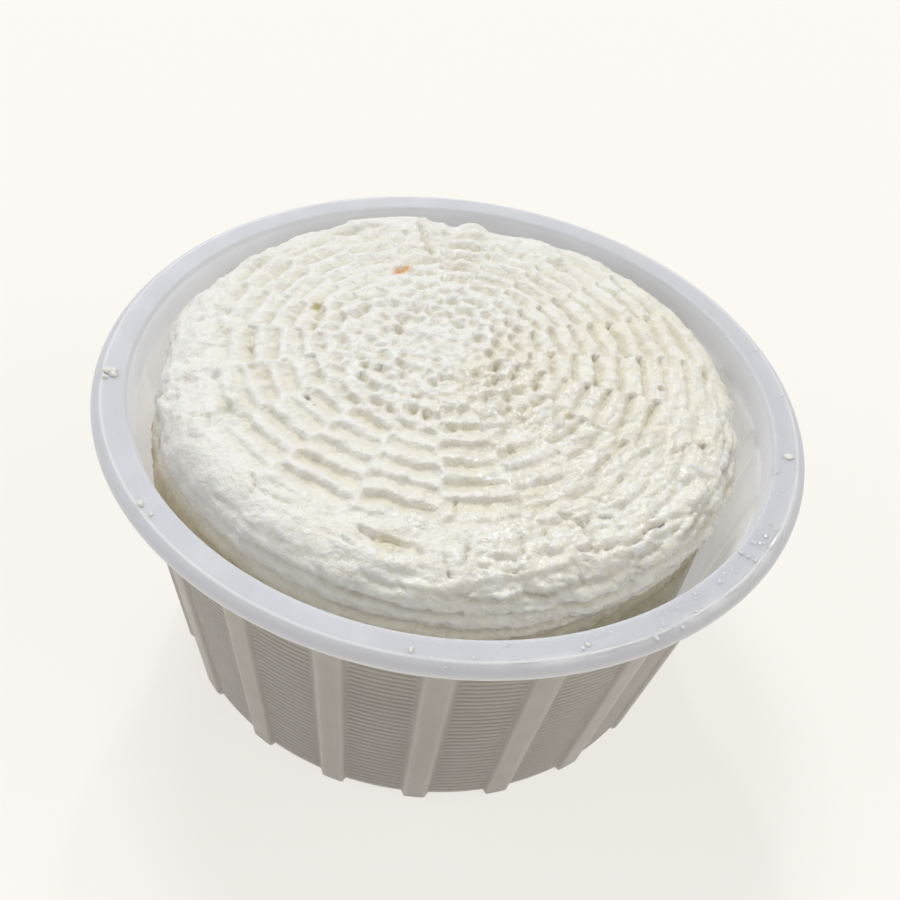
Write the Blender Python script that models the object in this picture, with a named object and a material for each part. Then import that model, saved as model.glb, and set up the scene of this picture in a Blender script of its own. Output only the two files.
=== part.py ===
"""A goat ricotta turned over in its draining basket.

The cheese keeps the print of a basket's base on its domed top and of the basket's louvres round its side.
The basket is a thin tapered cup with smooth ribs, recessed panels between them, feet under the ribs and a
flat flange. Metres, +Z up. The origin is on the surface that the feet stand on, at the basket's axis.
"""

from math import asin, atan, atan2, cos, degrees, exp, pi, radians, sin, sqrt, tan

import bmesh
import bpy

# Basket
RIM_RADIUS = 0.085
BASKET_HEIGHT = 0.0785
MOUTH_RADIUS = 0.0776
WALL_TAPER = radians(9.8)
RIB_COUNT = 20
RIB_PHASE = radians(4.45)
RIB_HALF_WIDTH = radians(2.3)
RIB_FLANK = radians(0.6)
RIB_OUTER_AT_MOUTH = 0.0789
PANEL_OUTER_AT_MOUTH = 0.0780
INNER_AT_MOUTH = 0.0769
PANEL_COLUMNS = 3
COLLAR_HEIGHT = 0.008
COLLAR_STEP = 0.0006
FLANGE_DROP = 0.0006
FLANGE_UNDER = 0.0022
EDGE_ROUND = 0.0007
FOOT_HEIGHT = 0.0020
FOOT_WIDTH = 0.0046
FLOOR_THICKNESS = 0.0013
FLOOR_ROUND = 0.0012

# Cheese
CHEESE_CENTRE = (-0.0010, 0.0010)
CROWN_HEIGHT = 0.0852
DOME_RADIUS = 0.0626
DOME_FALL = 0.0029
SHOULDER_RADIUS = 0.0075
SIDE_FLARE = atan(0.135)
GAP = 0.0003
PRINT_OFFSET = (-0.0044, 0.0035)
PRINT_PITCH = 0.0056
PRINT_RELIEF = 0.0007
PRINT_INNER_RADIUS = 0.0112
PRINT_FULL_RADIUS = 0.0230
PRINT_CENTRED_RADIUS = 0.0300
SIDE_PITCH = 0.0043
SIDE_RELIEF = 0.0007
SECTOR_COUNT = 20
SECTOR_PHASE = radians(-3.0)
COLUMNS_PER_SECTOR = 3
SHOULDER_LOOPS = 4

# Dents in the cheese's edge: direction from +X, half angle that it spreads over, depth
EDGE_DENTS = (
    (radians(96.0), radians(2.2), 0.0022),
    (radians(83.0), radians(6.0), 0.0016),
    (radians(158.0), radians(7.0), 0.0008),
)

# Hollow in the cheese's side, where it stands back from the wall
SIDE_HOLLOW_DIRECTION = radians(-31.0)
SIDE_HOLLOW_SPREAD = radians(36.0)
SIDE_HOLLOW_DEPTH = 0.0053
SIDE_HOLLOW_TOP = 0.0735
SIDE_HOLLOW_FULL = 0.0650


def clear_scene():
    for item in list(bpy.data.objects):
        bpy.data.objects.remove(item, do_unlink=True)


def plain_material(name, colour, roughness):
    material = bpy.data.materials.new(name)
    material.use_nodes = True
    shader = material.node_tree.nodes["Principled BSDF"]
    shader.inputs["Base Color"].default_value = (*colour, 1.0)
    shader.inputs["Roughness"].default_value = roughness
    shader.inputs["Metallic"].default_value = 0.0
    return material


def ring_of(mesh, points):
    return [mesh.verts.new(point) for point in points]


def bridge(mesh, lower, upper):
    """Joins two rings with quads that face out when the rings run anticlockwise and upper is further along."""
    count = len(lower)
    for i in range(count):
        k = (i + 1) % count
        mesh.faces.new((lower[i], lower[k], upper[k], upper[i]))


def cap(mesh, ring, centre, flip):
    """Closes a ring with a fan of triangles round one centre vertex."""
    hub = mesh.verts.new(centre)
    count = len(ring)
    for i in range(count):
        k = (i + 1) % count
        corners = (ring[k], ring[i], hub) if flip else (ring[i], ring[k], hub)
        mesh.faces.new(corners)


def finish_object(name, mesh, material, sharp_angle):
    bmesh.ops.triangulate(mesh, faces=mesh.faces[:])
    data = bpy.data.meshes.new(name)
    mesh.to_mesh(data)
    mesh.free()
    data.materials.append(material)
    data.shade_smooth()
    data.set_sharp_from_angle(angle=sharp_angle)
    made = bpy.data.objects.new(name, data)
    bpy.context.scene.collection.objects.link(made)
    return made


def wall_radius(radius_at_mouth, height):
    return radius_at_mouth - (BASKET_HEIGHT - height) * tan(WALL_TAPER)


def basket_columns():
    """Directions of the basket's columns, each with True on a rib and False on a panel."""
    pitch = 2 * pi / RIB_COUNT
    base = RIB_HALF_WIDTH + RIB_FLANK
    columns = []
    for rib in range(RIB_COUNT):
        middle = RIB_PHASE + rib * pitch
        columns.append((middle - RIB_HALF_WIDTH, True))
        columns.append((middle + RIB_HALF_WIDTH, True))
        for step in range(PANEL_COLUMNS + 2):
            share = step / (PANEL_COLUMNS + 1)
            columns.append((middle + base + share * (pitch - 2 * base), False))
    return columns


def basket_loops():
    """The basket's section, from the floor's underside round the flange to the floor's top.

    Each entry is a point on a rib and the matching point on a panel, as radius and height.
    """
    foot_outer = wall_radius(RIB_OUTER_AT_MOUTH, 0.0)
    foot_top = wall_radius(RIB_OUTER_AT_MOUTH, FOOT_HEIGHT)
    panel_foot = wall_radius(PANEL_OUTER_AT_MOUTH, FOOT_HEIGHT)
    foot_inner = foot_outer - FOOT_WIDTH
    collar = BASKET_HEIGHT - COLLAR_HEIGHT
    collar_outer = wall_radius(RIB_OUTER_AT_MOUTH, collar)
    collar_panel = wall_radius(PANEL_OUTER_AT_MOUTH, collar - COLLAR_STEP)
    under = BASKET_HEIGHT - FLANGE_UNDER
    edge_top = BASKET_HEIGHT - FLANGE_DROP
    floor = FOOT_HEIGHT + FLOOR_THICKNESS
    floor_wall = wall_radius(INNER_AT_MOUTH, floor + FLOOR_ROUND)
    rib_and_panel = [
        ((foot_inner - 0.0008, FOOT_HEIGHT), (foot_inner - 0.0008, FOOT_HEIGHT)),
        ((foot_inner, 0.0), (foot_inner, FOOT_HEIGHT)),
        ((foot_outer - 0.0012, 0.0), (foot_outer - 0.0024, FOOT_HEIGHT)),
        ((foot_outer, 0.0009), (panel_foot - 0.0007, FOOT_HEIGHT)),
        ((foot_top, FOOT_HEIGHT + 0.0007), (panel_foot, FOOT_HEIGHT + 0.0007)),
        ((collar_outer, collar - COLLAR_STEP), (collar_panel, collar - COLLAR_STEP)),
        ((collar_outer, collar), (collar_outer, collar)),
    ]
    turned = [
        (wall_radius(RIB_OUTER_AT_MOUTH, under), under),
        (RIM_RADIUS - EDGE_ROUND, under),
        (RIM_RADIUS, under + EDGE_ROUND),
        (RIM_RADIUS, edge_top - EDGE_ROUND),
        (RIM_RADIUS - EDGE_ROUND, edge_top),
        (MOUTH_RADIUS + EDGE_ROUND, BASKET_HEIGHT),
        (MOUTH_RADIUS, BASKET_HEIGHT - EDGE_ROUND),
        (wall_radius(INNER_AT_MOUTH, collar), collar),
        (floor_wall, floor + FLOOR_ROUND),
        (floor_wall - FLOOR_ROUND, floor),
    ]
    return rib_and_panel + [(point, point) for point in turned]


def make_basket():
    mesh = bmesh.new()
    columns = basket_columns()
    previous = None
    rings = []
    for rib_point, panel_point in basket_loops():
        points = []
        for direction, on_rib in columns:
            radius, height = rib_point if on_rib else panel_point
            points.append((radius * cos(direction), radius * sin(direction), height))
        ring = ring_of(mesh, points)
        if previous:
            bridge(mesh, previous, ring)
        previous = ring
        rings.append(ring)
    cap(mesh, rings[0], (0, 0, FOOT_HEIGHT), flip=True)
    cap(mesh, rings[-1], (0, 0, FOOT_HEIGHT + FLOOR_THICKNESS), flip=False)
    material = plain_material("basket_plastic", (0.70, 0.71, 0.77), 0.32)
    return finish_object("basket", mesh, material, radians(35))


def dome_height(radius):
    return CROWN_HEIGHT - DOME_FALL * (radius / DOME_RADIUS) ** 2


def dome_slope(radius):
    return atan(2 * DOME_FALL * radius / DOME_RADIUS**2)


def shoulder_centre():
    """The centre of the arc that joins the dome to the side, as radius and height."""
    lean = dome_slope(DOME_RADIUS)
    radius = DOME_RADIUS - SHOULDER_RADIUS * sin(lean)
    return radius, dome_height(DOME_RADIUS) - SHOULDER_RADIUS * cos(lean)


def side_start():
    """Where the shoulder's arc meets the straight side."""
    radius, height = shoulder_centre()
    turn = pi / 2 - SIDE_FLARE
    return radius + SHOULDER_RADIUS * sin(turn), height + SHOULDER_RADIUS * cos(turn)


def contact_height():
    """The height at which the side, which widens downwards, comes to the basket's wall."""
    radius, height = side_start()
    room = wall_radius(INNER_AT_MOUTH, height) - GAP - radius
    return height - room / (tan(SIDE_FLARE) + tan(WALL_TAPER))


def edge_factor(direction, height):
    """How far the cheese's edge stands out in a direction, against a true circle."""
    lobes = 0.004 * cos(2 * direction + 0.6) + 0.003 * cos(3 * direction - 1.1)
    lobes += 0.002 * cos(5 * direction + 2.0)
    dents = 0.0
    for middle, spread, depth in EDGE_DENTS:
        off = atan2(sin(direction - middle), cos(direction - middle))
        dents += depth / DOME_RADIUS * exp(-((off / spread) ** 2))
    above = (height - contact_height()) / (dome_height(DOME_RADIUS) - contact_height())
    return 1.0 + (lobes - dents) * min(max(above, 0.0), 1.0)


def side_hollow(direction, height):
    """How far the side stands back, deepest below the shoulder and running out towards the floor."""
    off = direction - SIDE_HOLLOW_DIRECTION
    off = atan2(sin(off), cos(off))
    share = (SIDE_HOLLOW_TOP - height) / (SIDE_HOLLOW_TOP - SIDE_HOLLOW_FULL)
    low_share = height / contact_height()
    depth = SIDE_HOLLOW_DEPTH * exp(-((off / SIDE_HOLLOW_SPREAD) ** 4))
    return depth * min(max(share, 0.0), 1.0) * min(low_share, 1.0)


def lean_share(height):
    """How much of the sideways offset a height has: none where the basket holds the cheese, all at the top."""
    above = (height - contact_height()) / (BASKET_HEIGHT - contact_height())
    return min(max(above, 0.0), 1.0)


def print_sign(loop, sector):
    """Crest or trough: the print's bricks are staggered from one sector to the next."""
    return 1 if (loop + sector) % 2 == 0 else -1


def print_loops():
    """The radii of the print's crests and troughs, which alternate outwards from its centre."""
    step = PRINT_PITCH / 2
    return [loop * step for loop in range(round(PRINT_INNER_RADIUS / step), int(DOME_RADIUS / step) + 1)]


def print_strength(radius):
    """The print fades out towards its centre."""
    share = (radius - PRINT_INNER_RADIUS) / (PRINT_FULL_RADIUS - PRINT_INNER_RADIUS)
    return min(max(share, 0.0), 1.0)


def print_centre(radius):
    """The print sits a little off the cheese's own centre, and its outer loops follow the cheese's edge."""
    share = (DOME_RADIUS - radius) / (DOME_RADIUS - PRINT_CENTRED_RADIUS)
    share = min(max(share, 0.0), 1.0)
    return share * PRINT_OFFSET[0], share * PRINT_OFFSET[1]


def dome_point(radius, direction, sign):
    centre_x, centre_y = print_centre(radius)
    out = radius * edge_factor(direction, CROWN_HEIGHT)
    x = centre_x + out * cos(direction)
    y = centre_y + out * sin(direction)
    relief = sign * print_strength(radius) * PRINT_RELIEF / 2
    return x + CHEESE_CENTRE[0], y + CHEESE_CENTRE[1], dome_height(sqrt(x * x + y * y)) + relief


def side_section():
    """The section below the dome, as radius, height, relief outwards, and which loop of its kind it is."""
    section = []
    centre_radius, centre_height = shoulder_centre()
    start = dome_slope(DOME_RADIUS)
    for step in range(1, SHOULDER_LOOPS + 1):
        turn = start + step / SHOULDER_LOOPS * (pi / 2 - SIDE_FLARE - start)
        radius = centre_radius + SHOULDER_RADIUS * sin(turn)
        section.append((radius, centre_height + SHOULDER_RADIUS * cos(turn), 0.0, step))
    radius, height = side_start()
    low = contact_height()
    side_loops = int((height - low) / (SIDE_PITCH / 2)) - 1
    for loop in range(1, side_loops + 1):
        drop = loop * SIDE_PITCH / 2
        section.append((radius + drop * tan(SIDE_FLARE), height - drop, SIDE_RELIEF / 2, loop))
    floor = FOOT_HEIGHT + FLOOR_THICKNESS + GAP
    corner = floor + FLOOR_ROUND
    section.append((wall_radius(INNER_AT_MOUTH, low) - GAP, low, 0.0, 0))
    section.append((wall_radius(INNER_AT_MOUTH, corner) - GAP, corner, 0.0, 0))
    section.append((wall_radius(INNER_AT_MOUTH, corner) - GAP - FLOOR_ROUND, floor, 0.0, 0))
    return section


def cheese_columns():
    """Directions of the cheese's columns, each with the number of its sector of the print."""
    columns = []
    for column in range(SECTOR_COUNT * COLUMNS_PER_SECTOR):
        sector = column // COLUMNS_PER_SECTOR
        share = (column % COLUMNS_PER_SECTOR - (COLUMNS_PER_SECTOR - 1) / 2) / COLUMNS_PER_SECTOR
        columns.append((SECTOR_PHASE + (sector + share) * 2 * pi / SECTOR_COUNT, sector))
    return columns


def make_cheese():
    mesh = bmesh.new()
    columns = cheese_columns()
    rings = []
    for loop, radius in enumerate(print_loops()):
        points = [dome_point(radius, direction, print_sign(loop, sector)) for direction, sector in columns]
        rings.append(ring_of(mesh, points))
    for radius, height, relief, loop in side_section():
        points = []
        lean = lean_share(height)
        for direction, sector in columns:
            out = (radius + print_sign(loop, sector) * relief) * edge_factor(direction, height)
            out -= side_hollow(direction, height)
            x = lean * CHEESE_CENTRE[0] + out * cos(direction)
            y = lean * CHEESE_CENTRE[1] + out * sin(direction)
            points.append((x, y, height))
        rings.append(ring_of(mesh, points))
    for upper, lower in zip(rings, rings[1:]):
        bridge(mesh, lower, upper)
    crown_x, crown_y = print_centre(0.0)
    crown_height = dome_height(sqrt(crown_x**2 + crown_y**2))
    crown = (crown_x + CHEESE_CENTRE[0], crown_y + CHEESE_CENTRE[1], crown_height)
    cap(mesh, rings[0], crown, flip=False)
    floor = FOOT_HEIGHT + FLOOR_THICKNESS + GAP
    cap(mesh, rings[-1], (0, 0, floor), flip=True)
    material = plain_material("ricotta_curd", (0.86, 0.85, 0.79), 0.55)
    return finish_object("ricotta", mesh, material, radians(60))


clear_scene()
make_basket()
make_cheese()
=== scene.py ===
from itertools import product
from math import atan, cos, pi, radians, sin, tan

import bmesh
import bpy
import numpy as np
from mathutils import Matrix, Vector


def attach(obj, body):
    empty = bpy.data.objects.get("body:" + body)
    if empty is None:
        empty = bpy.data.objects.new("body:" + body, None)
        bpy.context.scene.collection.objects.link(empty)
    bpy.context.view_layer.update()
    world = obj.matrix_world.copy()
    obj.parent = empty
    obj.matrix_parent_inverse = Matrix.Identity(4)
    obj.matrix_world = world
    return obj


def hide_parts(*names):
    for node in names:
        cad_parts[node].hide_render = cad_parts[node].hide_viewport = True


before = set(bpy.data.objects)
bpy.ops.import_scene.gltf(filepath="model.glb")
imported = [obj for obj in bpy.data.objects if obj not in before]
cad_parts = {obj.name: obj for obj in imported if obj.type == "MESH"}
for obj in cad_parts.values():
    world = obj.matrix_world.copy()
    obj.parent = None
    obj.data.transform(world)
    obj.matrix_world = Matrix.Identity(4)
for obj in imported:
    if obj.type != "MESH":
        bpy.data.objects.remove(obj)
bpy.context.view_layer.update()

# Sizes in millimetres, turned to metres where a mesh is made
MM = 0.001
RIM_HEIGHT = 78.5

# Cheese
CENTRE = (-1.0, 1.0)
CROWN = 84.75
DOME_RADIUS = 62.6
DOME_FALL = 2.9
SHOULDER = 7.5
FLARE = atan(0.135)
CONTACT_HEIGHT = 53.7
HOLLOW_DIRECTION = radians(-31.0)
HOLLOW_SPREAD = radians(36.0)
HOLLOW_DEPTH = 5.3
HOLLOW_TOP = 72.0
HOLLOW_FULL = 65.5
FLOOR_HEIGHT = 3.6
PRINT_CENTRE = (-5.4, 4.5)
PRINT_PITCH = 5.6
PRINT_DEPTH = 1.38
SECTORS = 20
SECTOR = 360.0 / SECTORS
SIDE_PITCH = 4.3
SIDE_DEPTH = 1.75
COLUMNS = 672

# Limits of the cheese's relief, which keep it inside the solids and off the basket's wall
HIGHEST = 85.25
DEEPEST_MARK = 2.8
TALLEST_MARK = 0.95
WALL_GAP = 0.3

# Basket
RIM_RADIUS = 84.9
TAPER = tan(radians(9.8))
RIB_COUNT = 20
RIB_SPACING = 360.0 / RIB_COUNT
RIB_PHASE = 4.45
RIB_OUTER = 78.9
PANEL_OUTER = 78.0
INNER = 76.9
FLANGE_THICKNESS = 2.0
FLANGE_EDGE = 84.0
FOLD_RADIUS = 82.8
FLOOR_THICKNESS = 1.3
LOUVRE_PITCH = 1.85
LOUVRE_DEPTH = 0.34
COLLAR = 8.0
FOOT = 2.0

# Colours of the curd, with tints of painted light and shade: a warmer light, a highlight on peaks, shade in
# hollows, and whey darkened by shade
CREAM = (0.905, 0.888, 0.83)
CHALK = (0.935, 0.925, 0.885)
BUFF = (0.83, 0.79, 0.67)
WARM_LIGHT = (0.90, 0.865, 0.75)
PEAK_HIGHLIGHT = (0.975, 0.97, 0.95)
HOLLOW_SHADE = (0.78, 0.73, 0.58)
DAMP_AND_SHADE = (0.66, 0.58, 0.37)

# Camera, fitted to the rim, the ribs and the feet: angles in radians
ELEVATION = 0.69212
DISTANCE = 297.5
YAW = 0.0030894
PITCH = -0.0541163
ROLL = 0.1530269
FOCAL_PIXELS = 1237.24
FRAME_PIXELS = 900


def camera_axes():
    """Place of the camera and its right, up and forward directions, in millimetres round the rim's centre."""
    place = np.array([0.0, -cos(ELEVATION), sin(ELEVATION)]) * DISTANCE
    forward = -place / DISTANCE
    right = np.array([1.0, 0.0, 0.0])
    up = np.cross(right, forward)
    ahead = forward * cos(YAW) + right * sin(YAW)
    side = np.cross(ahead, up)
    side /= np.linalg.norm(side)
    aim = ahead * cos(PITCH) + up * sin(PITCH)
    top = np.cross(side, aim)
    turned_right = side * cos(ROLL) + top * sin(ROLL)
    turned_up = -side * sin(ROLL) + top * cos(ROLL)
    return place + np.array([0.0, 0.0, RIM_HEIGHT]), turned_right, turned_up, aim


CAMERA_PLACE, CAMERA_RIGHT, CAMERA_UP, CAMERA_AIM = camera_axes()


def to_picture(points):
    """Where points in millimetres land in the picture, in pixels from its top left corner."""
    away = points - CAMERA_PLACE
    depth = away @ CAMERA_AIM
    across = FRAME_PIXELS / 2 + FOCAL_PIXELS * (away @ CAMERA_RIGHT) / depth
    down = FRAME_PIXELS / 2 - FOCAL_PIXELS * (away @ CAMERA_UP) / depth
    return np.stack([across, down], -1)


def make_camera():
    data = bpy.data.cameras.new("camera")
    data.sensor_fit = "HORIZONTAL"
    data.sensor_width = 36.0
    data.lens = FOCAL_PIXELS * 36.0 / FRAME_PIXELS
    data.clip_start = 0.01
    data.clip_end = 20.0
    made = bpy.data.objects.new("camera", data)
    bpy.context.scene.collection.objects.link(made)
    turn = Matrix((CAMERA_RIGHT, CAMERA_UP, -CAMERA_AIM)).transposed()
    made.matrix_world = Matrix.Translation(Vector(CAMERA_PLACE * MM)) @ turn.to_4x4()
    bpy.context.scene.camera = made


def smooth(value, start, end):
    """0 before the start and 1 after the end, with a soft step between them."""
    share = np.clip((value - start) / (end - start), 0.0, 1.0)
    return share * share * (3.0 - 2.0 * share)


def between(value, start, full, fall, end):
    """1 from full to fall, and 0 before the start and after the end."""
    return smooth(value, start, full) * (1.0 - smooth(value, fall, end))


def facing_of(points):
    """Direction in degrees from the camera's side, growing to the right."""
    return np.degrees(np.arctan2(points[:, 0], -points[:, 1]))


def lattice(points, size, seed):
    """Smooth noise from -1 to 1 with blobs of about the given size."""
    table = np.random.default_rng(seed).uniform(-1.0, 1.0, (32, 32, 32))
    place = points / size + 96.37
    cell = np.floor(place).astype(int)
    part = place - cell
    part = part * part * (3.0 - 2.0 * part)
    total = np.zeros(len(points))
    for corner in product((0, 1), repeat=3):
        weight = np.prod(np.where(corner, part, 1.0 - part), axis=1)
        index = (cell + corner) % 32
        total += weight * table[index[:, 0], index[:, 1], index[:, 2]]
    return total


def fractal(points, size, seed, layers):
    """Smooth noise in layers, each half as large and half as strong as the one before."""
    total = np.zeros(len(points))
    for layer in range(layers):
        total += lattice(points, size / 2**layer, seed + layer) / 2**layer
    return total


def drift(points, size, seeds):
    """Smooth offsets, one direction for each seed."""
    return np.stack([lattice(points, size, seed) for seed in seeds], -1)


def cells(points, size, seed):
    """Distances to the two nearest of scattered centres, in sizes, and a number from 0 to 1 for the cell."""
    rng = np.random.default_rng(seed)
    jitter = rng.uniform(0.1, 0.9, (32, 32, 32, 3))
    mark = rng.uniform(0.0, 1.0, (32, 32, 32))
    place = points / size + 96.37
    cell = np.floor(place).astype(int)
    nearest = np.full(len(points), 9.0)
    second = np.full(len(points), 9.0)
    label = np.zeros(len(points))
    for step in product((-1, 0, 1), repeat=3):
        around = cell + step
        index = around % 32
        centre = around + jitter[index[:, 0], index[:, 1], index[:, 2]]
        distance = np.linalg.norm(place - centre, axis=1)
        closer = distance < nearest
        second = np.where(closer, nearest, np.minimum(second, distance))
        label = np.where(closer, mark[index[:, 0], index[:, 1], index[:, 2]], label)
        nearest = np.minimum(nearest, distance)
    return nearest, second, label


def make_object(name, vertices, faces, material, colours=(), values=()):
    """A mesh object from millimetre points. Colours and values are named attributes, one entry a vertex."""
    data = bpy.data.meshes.new(name)
    data.from_pydata((np.asarray(vertices) * MM).tolist(), [], faces)
    data.materials.append(material)
    for label, numbers in colours:
        layer = data.attributes.new(label, "FLOAT_COLOR", "POINT")
        full = np.concatenate([numbers, np.ones((len(numbers), 1))], axis=1)
        layer.data.foreach_set("color", full.astype(np.float32).ravel())
    for label, numbers in values:
        layer = data.attributes.new(label, "FLOAT", "POINT")
        layer.data.foreach_set("value", np.asarray(numbers, dtype=np.float32))
    data.validate()
    data.shade_smooth()
    made = bpy.data.objects.new(name, data)
    bpy.context.scene.collection.objects.link(made)
    return made


class Look:
    """A new material, with short ways to add nodes and to feed its shader."""

    def __init__(self, name):
        self.material = bpy.data.materials.new(name)
        self.material.use_nodes = True
        self.nodes = self.material.node_tree.nodes
        self.links = self.material.node_tree.links
        self.shader = self.nodes["Principled BSDF"]
        self.place = self.nodes.new("ShaderNodeTexCoord").outputs["Object"]

    def feed(self, name, value):
        """Link a node's output to one of the shader's sockets, or set that socket to a constant."""
        self.fill(self.shader.inputs[name], value)

    def fill(self, socket, value):
        if isinstance(value, bpy.types.NodeSocket):
            self.links.new(value, socket)
        elif isinstance(value, tuple) and socket.type == "RGBA":
            socket.default_value = (*value, 1.0)
        else:
            socket.default_value = value

    def noise(self, scale, detail, rough=0.5):
        node = self.nodes.new("ShaderNodeTexNoise")
        node.inputs["Scale"].default_value = scale
        node.inputs["Detail"].default_value = detail
        node.inputs["Roughness"].default_value = rough
        self.links.new(self.place, node.inputs["Vector"])
        return node.outputs["Fac"]

    def ramp(self, source, low, high, first, second):
        """A value that runs from the first to the second while the source runs from low to high."""
        node = self.nodes.new("ShaderNodeMapRange")
        node.inputs["From Min"].default_value = low
        node.inputs["From Max"].default_value = high
        node.inputs["To Min"].default_value = first
        node.inputs["To Max"].default_value = second
        self.links.new(source, node.inputs["Value"])
        return node.outputs["Result"]

    def mix(self, share, first, second, kind="RGBA"):
        node = self.nodes.new("ShaderNodeMix")
        node.data_type = kind
        self.links.new(share, node.inputs["Factor"])
        self.fill(node.inputs["A"], first)
        self.fill(node.inputs["B"], second)
        return node.outputs["Result"]

    def attribute(self, label, output="Fac"):
        node = self.nodes.new("ShaderNodeAttribute")
        node.attribute_name = label
        return node.outputs[output]

    def bump(self, height, strength, distance, below=None):
        node = self.nodes.new("ShaderNodeBump")
        node.inputs["Strength"].default_value = strength
        node.inputs["Distance"].default_value = distance
        self.links.new(height, node.inputs["Height"])
        if below is not None:
            self.links.new(below.outputs["Normal"], node.inputs["Normal"])
        return node


# The cheese's section, from the crown down: dome, shoulder arc, side, then down the basket's wall


def dome_lean():
    return atan(2 * DOME_FALL / DOME_RADIUS)


ARC_RADIUS = DOME_RADIUS - SHOULDER * sin(dome_lean())
ARC_HEIGHT = CROWN - DOME_FALL - SHOULDER * cos(dome_lean())
ARC_TURN = pi / 2 - FLARE - dome_lean()
SHOULDER_END = DOME_RADIUS + SHOULDER * ARC_TURN
SIDE_RADIUS = ARC_RADIUS + SHOULDER * cos(FLARE)
SIDE_HEIGHT = ARC_HEIGHT + SHOULDER * sin(FLARE)
SIDE_LENGTH = (SIDE_HEIGHT - CONTACT_HEIGHT) / cos(FLARE)
SIDE_END = SHOULDER_END + SIDE_LENGTH


def wall_radius(at_mouth, height):
    """Radius of the tapered wall at a height, from its radius at the rim's height."""
    return at_mouth - (RIM_HEIGHT - height) * TAPER


def cheese_section(along):
    """Radius, height and outward direction of the cheese's section at a distance along it."""
    radius = along.copy()
    height = CROWN - DOME_FALL * (along / DOME_RADIUS) ** 2
    slope = np.arctan(2 * DOME_FALL * along / DOME_RADIUS**2)
    on_arc = (along > DOME_RADIUS) & (along <= SHOULDER_END)
    turn = dome_lean() + (along - DOME_RADIUS) / SHOULDER
    radius = np.where(on_arc, ARC_RADIUS + SHOULDER * np.sin(turn), radius)
    height = np.where(on_arc, ARC_HEIGHT + SHOULDER * np.cos(turn), height)
    slope = np.where(on_arc, turn, slope)
    on_side = along > SHOULDER_END
    drop = along - SHOULDER_END
    radius = np.where(on_side, SIDE_RADIUS + drop * sin(FLARE), radius)
    height = np.where(on_side, SIDE_HEIGHT - drop * cos(FLARE), height)
    slope = np.where(on_side, pi / 2 - FLARE, slope)
    return radius, height, np.sin(slope), np.cos(slope)


def edge_factor(direction, height):
    """How far the cheese's edge stands out in a direction, as in the solids."""
    lobes = 0.004 * np.cos(2 * direction + 0.6) + 0.003 * np.cos(3 * direction - 1.1)
    lobes = lobes + 0.002 * np.cos(5 * direction + 2.0)
    dents = 0.0
    for middle, spread, depth in ((96.0, 2.2, 2.2), (83.0, 6.0, 1.6), (158.0, 7.0, 0.8)):
        off = np.degrees(np.arctan2(np.sin(direction - radians(middle)), np.cos(direction - radians(middle))))
        dents = dents + depth / DOME_RADIUS * np.exp(-((off / spread) ** 2))
    above = (height - CONTACT_HEIGHT) / (CROWN - DOME_FALL - CONTACT_HEIGHT)
    return 1.0 + (lobes - dents) * np.clip(above, 0.0, 1.0)


def side_hollow(direction, height):
    """How far the side stands back, from a slightly lower edge than in the solids."""
    off = np.arctan2(np.sin(direction - HOLLOW_DIRECTION), np.cos(direction - HOLLOW_DIRECTION))
    below_edge = smooth(HOLLOW_TOP - height, 0.0, HOLLOW_TOP - HOLLOW_FULL)
    above_floor = np.clip(height / CONTACT_HEIGHT, 0.0, 1.0)
    return HOLLOW_DEPTH * np.exp(-((off / HOLLOW_SPREAD) ** 4)) * below_edge * above_floor


def cheese_rings():
    """Distance along the section and number of columns of each ring of the cheese's mesh."""
    rings = []
    for start, end, step, columns in (
        (0.9, 8.0, 0.55, COLUMNS // 8),
        (8.0, 16.0, 0.5, COLUMNS // 4),
        (16.0, 31.0, 0.5, COLUMNS // 2),
        (31.0, DOME_RADIUS, 0.52, COLUMNS),
        (DOME_RADIUS, SHOULDER_END, 0.5, COLUMNS),
        (SHOULDER_END, SIDE_END, 0.68, COLUMNS),
    ):
        count = round((end - start) / step)
        for i in range(count):
            rings.append((start + (end - start) * i / count, columns))
    rings.append((SIDE_END, COLUMNS))
    return rings


def cheese_base():
    """Points before the relief, with their outward directions, distances along the section and directions."""
    points, outward, along_all, direction_all, starts, columns_all = [], [], [], [], [], []
    total = 0
    for along, columns in cheese_rings():
        count = np.arange(columns)
        spread = 2 * pi * count / columns
        facing = spread - 0.2 * np.sin(spread)
        direction = facing - pi / 2
        radius, height, out, rise = cheese_section(np.full(columns, along))
        factor = edge_factor(direction, height)
        lean = np.clip((height - CONTACT_HEIGHT) / (RIM_HEIGHT - CONTACT_HEIGHT), 0.0, 1.0)
        reach = radius * factor - side_hollow(direction, height)
        x = lean * CENTRE[0] + reach * np.cos(direction)
        y = lean * CENTRE[1] + reach * np.sin(direction)
        points.append(np.stack([x, y, height], -1))
        outward.append(np.stack([out * np.cos(direction), out * np.sin(direction), rise], -1))
        along_all.append(np.full(columns, along))
        direction_all.append(direction)
        starts.append(total)
        columns_all.append(columns)
        total += columns
    joined = [np.concatenate(part) for part in (points, outward, along_all, direction_all)]
    return (*joined, starts, columns_all)


def ring_faces(starts, columns):
    """Faces between rings that run outwards and down, also where the number of columns doubles."""
    faces = []
    for i in range(len(starts) - 1):
        upper, lower = starts[i], starts[i + 1]
        few, many = columns[i], columns[i + 1]
        if few == many:
            for a in range(few):
                b = (a + 1) % few
                faces.append((upper + a, lower + a, lower + b, upper + b))
        else:
            for a in range(few):
                b = (a + 1) % few
                middle = lower + 2 * a + 1
                after = lower + (2 * a + 2) % many
                faces.append((upper + a, lower + 2 * a, middle))
                faces.append((upper + a, middle, upper + b))
                faces.append((upper + b, middle, after))
    return faces


# Marks that are read off the picture: places are pixels, and the sizes are millimetres

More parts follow.
